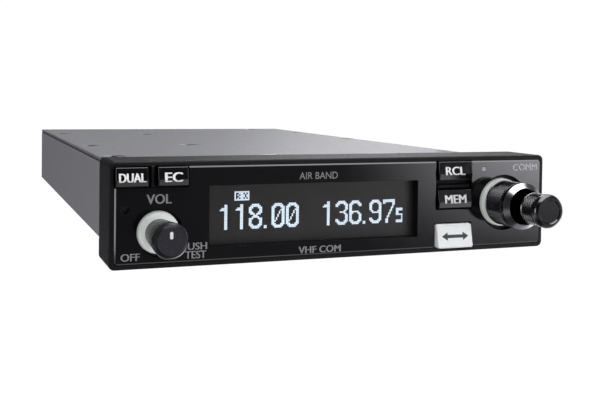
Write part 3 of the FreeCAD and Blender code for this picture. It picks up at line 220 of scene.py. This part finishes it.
# Distances in front of each knob's back: (front end, rear end).
OUTER_GRIP_RUN, OUTER_LIP_RUN = (9.5, 0.0), (13.3, 11.6)
INNER_GRIP_RUN, INNER_HEAD_RUN = (15.0, 4.2), (18.0, 15.0)
# Painted highlight on the outer knob's lip and painted shade on the inner knob's head, as factors of the
# colour.
OUTER_LIP_PAINTED_HIGHLIGHT, INNER_HEAD_PAINTED_SHADE = 1.7, 0.4
VOLUME_HEAD = 2.4  # length of the volume knob's head, in front of its barrel, which has painted shade
# Painted shade on the volume knob's barrel, as a factor of the colour.
VOLUME_BARREL_PAINTED_SHADE = 0.33
VOLUME_FACE_PAINTED_LIGHT, TUNING_FACE_PAINTED_SHADE = 2.1, 0.17  # painted light on the volume knob's flat front and painted shade on the tuning knobs' flat fronts


def gripped(back, run, radius):
    """The band of a cut grip, with painted shade in the valleys and painted light on the peaks."""
    return back - run[0], back - run[1], radius - GRIP_DEPTH, radius, VALLEY_PAINTED_SHADE, PEAK_PAINTED_LIGHT


def even(front, rear, shade):
    """A band with one factor of painted light and shade at every radius."""
    return front, rear, 0.0, 1.0, shade, shade


def axis_of(node):
    """The x and z (mm) of a turned node's axis."""
    low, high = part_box(node)
    return (low.x + high.x) / 2 / MM, (low.z + high.z) / 2 / MM


outer_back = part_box("tuning_outer_knob")[1].y / MM
inner_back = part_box("tuning_inner_knob")[1].y / MM
volume_front, volume_rear = (corner.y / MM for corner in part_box("volume_knob"))
# Painted light and shade on the volume and tuning knobs, scaled into their colours.
paint_light_and_shade(SLOTS["knob"], axis_of("volume_knob"), VOLUME_FACE_PAINTED_LIGHT, (
    even(volume_front + VOLUME_HEAD, volume_rear, VOLUME_BARREL_PAINTED_SHADE),
))
paint_light_and_shade(SLOTS["tuning_knob"], axis_of("tuning_outer_knob"), TUNING_FACE_PAINTED_SHADE, (
    gripped(outer_back, OUTER_GRIP_RUN, OUTER_GRIP),
    even(outer_back - OUTER_LIP_RUN[0], outer_back - OUTER_LIP_RUN[1], OUTER_LIP_PAINTED_HIGHLIGHT),
    gripped(inner_back, INNER_GRIP_RUN, INNER_GRIP),
    even(inner_back - INNER_HEAD_RUN[0], inner_back - INNER_HEAD_RUN[1], INNER_HEAD_PAINTED_SHADE),
))

for entry in frame["record"]["subparts"]:
    mesh = frame["nodes"][entry["node"]].data
    mesh.materials.clear()
    mesh.materials.append(SLOTS[entry["material_slot"]])

# ---------------------------------------------------------------- pieces


def piece(name, mesh, material, body):
    """Puts a mesh into the scene as a piece that rides on a CAD body."""
    item = bpy.data.objects.new(name, mesh)
    bpy.context.scene.collection.objects.link(item)
    mesh.materials.clear()
    mesh.materials.append(material)
    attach(item, body)
    return item


COPIES, COPY_RISE = 3, 0.004  # a bold word is made of this many copies, each this far above the last
FONT_STEPS = 4


def lettering(name, word, limits, bold, depth, bend=None):
    """A word as a flat mesh that fills the limits x0, x1, z0, z1 (mm). Its strokes grow by bold (mm), made
    of copies side by side, each a little above the last. depth gives Y (mm) at a height."""
    curve = bpy.data.curves.new(name, "FONT")
    curve.body = word
    curve.resolution_u = FONT_STEPS
    item = bpy.data.objects.new(name, curve)
    bpy.context.scene.collection.objects.link(item)
    bpy.context.view_layer.update()
    flat = bpy.data.meshes.new_from_object(item.evaluated_get(bpy.context.evaluated_depsgraph_get()))
    bpy.data.objects.remove(item)
    x0, x1, z0, z1 = limits
    across, up = [[v.co[k] for v in flat.vertices] for k in (0, 1)]
    wide = (x1 - x0 - bold) / (max(across) - min(across))
    high = (z1 - z0) / (max(up) - min(up))
    left, foot = min(across), min(up)
    points, faces = [], []
    for copy in range(COPIES if bold else 1):
        start = len(points)
        shift = bold * copy / (COPIES - 1)
        for v in flat.vertices:
            x = x0 + shift + (v.co.x - left) * wide
            z = z0 + (v.co.y - foot) * high
            points.append((x, -COPY_RISE * copy, z))
        faces += [[start + n for n in face.vertices] for face in flat.polygons]
    mesh = bpy.data.meshes.new(name)
    mesh.from_pydata(points, [], faces)
    return laid_on(mesh, depth, bend)


def laid_on(mesh, depth, bend=None):
    """Lays a flat mesh (mm, in the X-Z plane) on a surface, cut along the height of its crease."""
    work = bmesh.new()
    work.from_mesh(mesh)
    if bend is not None:
        everything = work.verts[:] + work.edges[:] + work.faces[:]
        bmesh.ops.bisect_plane(work, geom=everything, plane_co=(0, 0, bend), plane_no=(0, 0, 1))
    for v in work.verts:
        v.co.y += depth(v.co.z)
        v.co *= MM
    work.normal_update()
    for f in work.faces:
        if f.normal.y > 0:
            f.normal_flip()
    work.to_mesh(mesh)
    work.free()
    return mesh


def outline_mesh(name, points):
    """A flat face through (x, z) points in mm."""
    mesh = bpy.data.meshes.new(name)
    mesh.from_pydata([(x, 0, z) for x, z in points], [], [list(range(len(points)))])
    return mesh


INK = 0.02  # how far print stands off a surface
face_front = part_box("faceplate")[0].y / MM
# Each word on the faceplate: its text, limits x0, x1, z0, z1, and how much its strokes grow.
PANEL_WORDS = {
    "print_volume": ("VOL", (-68.41, -60.37, 3.58, 6.60), 0.22),
    "print_off": ("OFF", (-76.37, -70.35, -14.1, -11.75), 0.18),
    "print_push": ("PUSH", (-56.85, -48.71, -11.5, -9.2), 0.18),
    "print_test": ("TEST", (-55.94, -48.95, -14.26, -11.85), 0.18),
    "print_com": ("COMM", (66.28, 76.82, 11.5, 13.93), 0.2),
    "print_band": ("AIR BAND", (-17.2, -3.4, 10.2, 12.5), 0.0),
    "print_type": ("VHF COM", (-17.3, -1.9, -14.6, -12.3), 0.22),
}
for name, (word, limits, weight) in PANEL_WORDS.items():
    mesh = lettering(name, word, limits, weight, lambda z: face_front - INK)
    piece(name, mesh, PRINT, "root")

# How far a dark key's upper edge, crease and lower edge stand out of the faceplate, and how far up it the
# crease is, as a share of its height.
KEY_TOP, KEY_CREST, KEY_FOOT, KEY_SHARE = 0.9, 1.7, 1.3, 0.34
# Each dark key: its word, the word's limits, how much its strokes grow, and the key's height.
KEY_WORDS = {
    "dual_key": ("DUAL", (-77.29, -68.78, 10.60, 13.40), 0.3, 6.1),
    "clear_key": ("EC", (-62.92, -57.13, 10.50, 13.50), 0.36, 6.0),
    "recall_key": ("RCL", (37.44, 45.40, 10.53, 13.45), 0.32, 6.5),
    "memory_key": ("MEM", (37.29, 46.00, 0.48, 3.43), 0.34, 6.4),
}
for node, (word, limits, weight, key_height) in KEY_WORDS.items():
    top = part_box(node)[1].z / MM
    foot = top - key_height
    crease = foot + (top - foot) * KEY_SHARE

    def on_cap(z, foot=foot, top=top, crease=crease):
        if z < crease:
            return face_front - INK - KEY_FOOT - (KEY_CREST - KEY_FOOT) * (z - foot) / (crease - foot)
        return face_front - INK - KEY_CREST + (KEY_CREST - KEY_TOP) * (z - crease) / (top - crease)

    mesh = lettering("legend_" + node, word, limits, weight, on_cap, crease)
    piece("legend_" + node, mesh, LEGEND, node)

# The double arrow on the white key, which slopes evenly.
SWAP_HEIGHT, SWAP_TOP, SWAP_FOOT = 8.3, 0.9, 2.6
ARROW_X, ARROW_Z = 41.5, -11.15
ARROW_HALF, HEAD_HALF, SHAFT_HALF, HEAD_LENGTH = 5.35, 1.45, 0.55, 2.3
swap_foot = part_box("swap_key")[1].z / MM - SWAP_HEIGHT
neck = ARROW_HALF - HEAD_LENGTH
right_half = [(neck, SHAFT_HALF), (neck, HEAD_HALF), (ARROW_HALF, 0)]
right_half += [(x, -z) for x, z in reversed(right_half[:2])]
loop = right_half + [(-x, -z) for x, z in right_half]
arrow = outline_mesh("swap_arrow", [(ARROW_X + x, ARROW_Z + z) for x, z in loop])
slope = (SWAP_FOOT - SWAP_TOP) / SWAP_HEIGHT
laid_on(arrow, lambda z: face_front - INK - SWAP_FOOT + slope * (z - swap_foot))
piece("swap_arrow", arrow, ARROW, "swap_key")

# ---------------------------------------------------------------- display
DOT = 0.515  # from one dot to the next
DOT_FILL = 0.94  # the lit share of a dot's side
COLUMNS, ROWS = 10, 16
# Each figure's strokes, in dots to the right and up, along the middle of a line two dots wide.
GLYPHS = {
    "0": [[(3, 1), (6, 1), (8, 3), (8, 13), (6, 15), (3, 15), (1, 13), (1, 3), (3, 1)]],
    "1": [[(4, 1), (4, 15), (3.4, 14), (1, 12.6)]],
    "3": [[(1, 13), (3, 15), (6, 15), (8, 13), (8, 10.4), (6, 8.5), (4, 8.5)],
          [(6, 8.5), (8, 6.4), (8, 3), (6, 1), (3, 1), (1, 3)]],
    "5": [[(4.6, 9), (1, 9), (1, 5.6), (4, 5.6), (4.6, 4.6), (4.6, 2), (4, 1), (1, 1)]],
    "6": [[(8, 13), (6, 15), (3, 15), (1, 13), (1, 3), (3, 1), (6, 1), (8, 3), (8, 6.4), (6, 8.5),
           (3, 8.5), (1, 6.4)]],
    "7": [[(1, 14), (1, 15), (8, 15), (8, 12.5), (3, 2.5), (3, 1)]],
    "8": [[(3, 15), (6, 15), (8, 13), (8, 10.7), (1, 6), (1, 3), (3, 1), (6, 1), (8, 3), (8, 6),
           (1, 10.7), (1, 13), (3, 15)]],
    "9": [[(1, 3), (3, 1), (6, 1), (8, 3), (8, 13), (6, 15), (3, 15), (1, 13), (1, 9.6), (3, 7.5),
           (6, 7.5), (8, 9.6)]],
    ".": [[(1, 1), (1, 1)]],
}
SLASH = [(2.6, 4.2), (6.4, 11.8)]
THICK, THIN = 0.86, 0.6  # how near a stroke a dot has to be, for a figure and for a slash
BADGE = ("##########", "#..###.#.#", "#.#.###.##", "#..####.##", "#.#.##.#.#", "##########")


def distance(px, pz, a, b):
    """From a point to a segment."""
    run = Vector(b) - Vector(a)
    along = 0.0
    if run.length > 0:
        along = max(0.0, min(1.0, (Vector((px, pz)) - Vector(a)).dot(run) / run.length_squared))
    return (Vector((px, pz)) - Vector(a) - run * along).length


def lit_dots(strokes, reach):
    """The dots whose middle is nearer to a stroke than reach."""
    lit = set()
    for column in range(COLUMNS):
        for row in range(ROWS):
            for stroke in strokes:
                for a, b in zip(stroke, stroke[1:]):
                    if distance(column + 0.5, row + 0.5, a, b) < reach:
                        lit.add((column, row))
    return lit


screen_low, screen_high = (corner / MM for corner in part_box("display_module"))
screen_x, screen_z = (screen_low.x + screen_high.x) / 2, (screen_low.z + screen_high.z) / 2
SCREEN_FRONT = screen_low.y - INK
FIGURES_FOOT = -5.05  # from the middle of the display
BADGE_X, BADGE_Z = -28.35, 4.4  # its lower left corner, from the middle of the display
# Each character and its left edge, from the middle of the display.
TEXT = (("1", -33.3), ("1", -27.9), ("8", -23.35), (".", -18.1), ("0", -15.4), ("0", -10.3),
        ("1", 3.05), ("3", 7.75), ("6", 12.9), (".", 18.05), ("9", 20.55), ("7", 25.75), ("5", 30.85))


def add_dots(work, dots, x, z):
    """Adds dots as squares whose lattice starts at x, z (mm)."""
    for column, row in dots:
        corners = [(column + a * DOT_FILL, row + b * DOT_FILL) for a, b in ((0, 0), (1, 0), (1, 1), (0, 1))]
        places = [Vector((x + c * DOT, SCREEN_FRONT, z + r * DOT)) * MM for c, r in corners]
        work.faces.new([work.verts.new(place) for place in places])


work = bmesh.new()
for character, left in TEXT:
    dots = lit_dots(GLYPHS[character], THICK)
    if character == "0":
        dots |= lit_dots([SLASH], THIN)
    add_dots(work, dots, screen_x + left, screen_z + FIGURES_FOOT)
badge = {
    (column, row)
    for row, line in enumerate(reversed(BADGE))
    for column, mark in enumerate(line) if mark == "#"
}
add_dots(work, badge, screen_x + BADGE_X, screen_z + BADGE_Z)
figures = bpy.data.meshes.new("display_figures")
work.to_mesh(figures)
work.free()
piece("display_figures", figures, LIT, "root")

# ---------------------------------------------------------------- gripped knobs
GRIP_PITCH = 0.52  # from one row of the lattice to the next
CREASE = math.radians(33)  # edges bent more than this are sharp


def turned(name, profile, columns):
    """A body turned about a line along Y. profile holds (y, radius, grip) in mm: where grip is true, the
    stretch up to the next point is cut into a lattice of small pyramids."""
    rings = []
    for (y, radius, grip), (next_y, _, _) in zip(profile, profile[1:] + profile[:1]):
        rings.append((y, radius, None))
        if grip:
            rows = 2 * round(abs(next_y - y) / GRIP_PITCH / 2)
            rings += [(y + (next_y - y) * (k + 0.5) / rows, radius, k) for k in range(rows)]
    work = bmesh.new()
    loops = []
    for y, radius, row in rings:
        if radius == 0:
            loops.append([work.verts.new((0, y, 0))] * columns)
            continue
        loop = []
        for k in range(columns):
            r = radius
            if row is not None and (k + row) % 2:
                r -= GRIP_DEPTH
            angle = 2 * math.pi * k / columns
            loop.append(work.verts.new((r * math.cos(angle), y, r * math.sin(angle))))
        loops.append(loop)
    closed = profile[0][1] > 0
    for n in range(len(loops) if closed else len(loops) - 1):
        here, there = loops[n], loops[(n + 1) % len(loops)]
        rows = rings[n][2], rings[(n + 1) % len(rings)][2]
        in_grip = None not in rows
        for k in range(columns):
            m = (k + 1) % columns
            quad = [here[k], here[m], there[m], there[k]]
            if in_grip:
                first = quad if (k + rows[0]) % 2 else quad[1:] + quad[:1]
                work.faces.new((first[0], first[1], first[2]))
                work.faces.new((first[0], first[2], first[3]))
            else:
                work.faces.new(list(dict.fromkeys(quad)))
    bmesh.ops.recalc_face_normals(work, faces=work.faces)
    for f in work.faces:
        f.smooth = True
    mesh = bpy.data.meshes.new(name)
    work.to_mesh(mesh)
    work.free()
    mesh.set_sharp_from_angle(angle=CREASE)
    return mesh


def knob(name, node, body, profile, columns):
    """A gripped knob in the place of a CAD knob."""
    low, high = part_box(node)
    mesh = turned(name, [(y + high.y / MM, radius, grip) for y, radius, grip in profile], columns)
    middle = Vector(((low.x + high.x) / 2, 0, (low.z + high.z) / 2))
    mesh.transform(Matrix.Translation(middle) @ Matrix.Scale(MM, 4))
    item = piece(name, mesh, SLOTS["tuning_knob"], body)
    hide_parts(node)


# Each point: y from the knob's back, radius, and whether the grip is cut up to the next point.
OUTER_PROFILE = [
    (0.0, 3.02, False), (0.0, 7.8, False), (-0.3, OUTER_GRIP, True), (-9.4, OUTER_GRIP, False),
    (-9.6, 7.8, False), (-9.9, 7.8, False), (-10.2, 8.2, False), (-11.6, 8.2, False), (-13.2, 6.55, False),
    (-12.9, 6.25, False), (-7.9, 6.25, False), (-7.9, 3.02, False),
]
INNER_PROFILE = [
    (-13.1, 0.0, False), (-13.1, 1.77, False), (0.0, 1.77, False), (0.0, 4.1, False), (-0.4, 4.4, False),
    (-8.4, 4.4, False), (-8.6, 5.2, False), (-9.0, INNER_GRIP, True), (-14.9, INNER_GRIP, False),
    (-15.1, 5.3, False), (-15.4, 5.3, False), (-15.7, 5.75, False), (-16.7, 5.75, False),
    (-17.4, 5.35, False), (-17.8, 4.75, False), (-17.8, 4.2, False), (-17.45, 3.85, False),
    (-17.45, 0.0, False),
]
OUTER_COLUMNS, INNER_COLUMNS = 96, 66
knob("tuning_outer_grip", "tuning_outer_knob", "tuning_outer", OUTER_PROFILE, OUTER_COLUMNS)
knob("tuning_inner_grip", "tuning_inner_knob", "tuning_inner", INNER_PROFILE, INNER_COLUMNS)

# ---------------------------------------------------------------- camera, stage and light
CAMERA_PLACE = Vector((-123.96, -296.8, 38.94)) * MM
YAW, PITCH, ROLL = (math.radians(a) for a in (20.56, 1.24, 0.69))
LENS, SENSOR, SHIFT_X, SHIFT_Y = 53.52, 36.0, 0.01417, -0.1465
NEAR, FAR = 0.01, 20.0

camera = bpy.data.objects.new("camera", bpy.data.cameras.new("camera"))
bpy.context.scene.collection.objects.link(camera)
camera.data.lens = LENS
camera.data.sensor_width = SENSOR
camera.data.shift_x, camera.data.shift_y = SHIFT_X, SHIFT_Y
camera.data.clip_start, camera.data.clip_end = NEAR, FAR
turn = Matrix.Rotation(-YAW, 4, "Z") @ Matrix.Rotation(math.pi / 2 - PITCH, 4, "X")
turn = turn @ Matrix.Rotation(ROLL, 4, "Z")
camera.matrix_world = Matrix.Translation(CAMERA_PLACE) @ turn
bpy.context.scene.camera = camera
bpy.context.scene.view_settings.view_transform = "Standard"


def glowing(name, colour, strength):
    """A material that only gives light."""
    made = bpy.data.materials.new(name)
    made.use_nodes = True
    tree = made.node_tree
    tree.nodes.clear()
    glow = tree.nodes.new("ShaderNodeEmission")
    socket(glow, "Color", (*colour, 1))
    socket(glow, "Strength", strength)
    out = tree.nodes.new("ShaderNodeOutputMaterial")
    tree.links.new(glow.outputs["Emission"], out.inputs["Surface"])
    return made


# The floor and the backdrop. Their lengths are in metres.
FLOOR_SIZE, FLOOR_GAP = 8, 0.0005
DOME_RADIUS, DOME_SEGMENTS, DOME_RINGS = 4, 48, 24
STAGE_Y = 0.1
STAGE_GLOW = 1.02
foot_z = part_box("bezel_housing")[0].z
bpy.ops.mesh.primitive_plane_add(size=FLOOR_SIZE, location=(0, STAGE_Y, foot_z - FLOOR_GAP))
floor = bpy.context.object
floor.name = "floor"
bpy.ops.mesh.primitive_uv_sphere_add(
    radius=DOME_RADIUS, segments=DOME_SEGMENTS, ring_count=DOME_RINGS, location=(0, STAGE_Y, 0))
dome = bpy.context.object
dome.name = "backdrop"
for shown in (floor, dome):
    shown.data.materials.append(glowing(shown.name, (1, 1, 1), STAGE_GLOW))
    shown.visible_glossy = shown.visible_diffuse = False
    shown.visible_transmission = shown.visible_shadow = False


def softbox(name, place, aim, width, height, power):
    """A rectangular lamp that looks at aim."""
    lamp = bpy.data.lights.new(name, "AREA")
    lamp.shape = "RECTANGLE"
    lamp.size, lamp.size_y, lamp.energy = width, height, power
    item = bpy.data.objects.new(name, lamp)
    item.location = place
    item.rotation_mode = "QUATERNION"
    item.rotation_quaternion = (Vector(aim) - Vector(place)).to_track_quat("-Z", "Y")
    bpy.context.scene.collection.objects.link(item)


# The surroundings are sums and products of smooth steps: what each runs along, where it starts and ends,
# and its values there. Azimuth is the angle (radians) to the right of straight ahead of the radio, behind
# the same from straight behind it, and up the sine of the angle above the horizon.
FRONT_PANEL = (("azimuth", 0.41, 0.67, 0, 6.6), ("azimuth", 1.1, 1.5, 1, 0),
               ("up", -0.18, -0.05, 0.04, 1), ("up", 0.04, 0.22, 1, 0))
BACK_PANEL = (("behind", 0.24, 0.58, 0, 0.65), ("behind", 1.2, 1.8, 1, 0), ("up", 0.2, 0.4, 1, 0))
BELOW = (("up", -0.18, -0.36, 0.08, 1), ("up", -0.5, -0.75, 1, 0.15))
LEFT_OF_BELOW = ("azimuth", -1.5, -1.0, 1.1, 0.35)
RIGHT_OF_BELOW = ("azimuth", -0.3, 0.6, 0, 1.5)
SKY_TINT = (0.94, 0.94, 1.0)

world = bpy.data.worlds.new("studio")
bpy.context.scene.world = world
world.use_nodes = True
tree = world.node_tree
place = tree.nodes.new("ShaderNodeTexCoord")
parts = tree.nodes.new("ShaderNodeSeparateXYZ")
tree.links.new(place.outputs["Generated"], parts.inputs["Vector"])
right, back, up = (parts.outputs[axis] for axis in "XYZ")
directions = {
    "azimuth": math_node(tree, "ARCTAN2", right, math_node(tree, "MULTIPLY", back, -1.0)),
    "behind": math_node(tree, "ARCTAN2", right, back),
    "up": up,
}


def step(along, *limits):
    """One smooth step along a direction."""
    return ramp(tree, directions[along], *limits)


def product(steps):
    """All the steps multiplied together."""
    value = step(*steps[0])
    for further in steps[1:]:
        value = math_node(tree, "MULTIPLY", value, step(*further))
    return value


around = math_node(tree, "ADD", step(*LEFT_OF_BELOW), step(*RIGHT_OF_BELOW))
below = math_node(tree, "MULTIPLY", product(BELOW), around)
panels = math_node(tree, "ADD", product(FRONT_PANEL), product(BACK_PANEL))
sky = tree.nodes["Background"]
socket(sky, "Color", (*SKY_TINT, 1))
tree.links.new(math_node(tree, "ADD", below, panels), sky.inputs["Strength"])

# Each lamp: name, place, aim, width, height (m) and power (W).
SOFTBOXES = (
    ("top", (0.15, -0.1, 0.9), (0.05, 0, 0), 1.5, 0.8, 18),
    ("behind_right", (0.45, 0.95, 0.75), (0, 0.1, 0), 0.3, 0.6, 3.4),
    ("left", (-1.1, -0.2, 0.05), (0, 0.0, 0), 0.45, 0.5, 3.4),
)
for box in SOFTBOXES:
    softbox(*box)
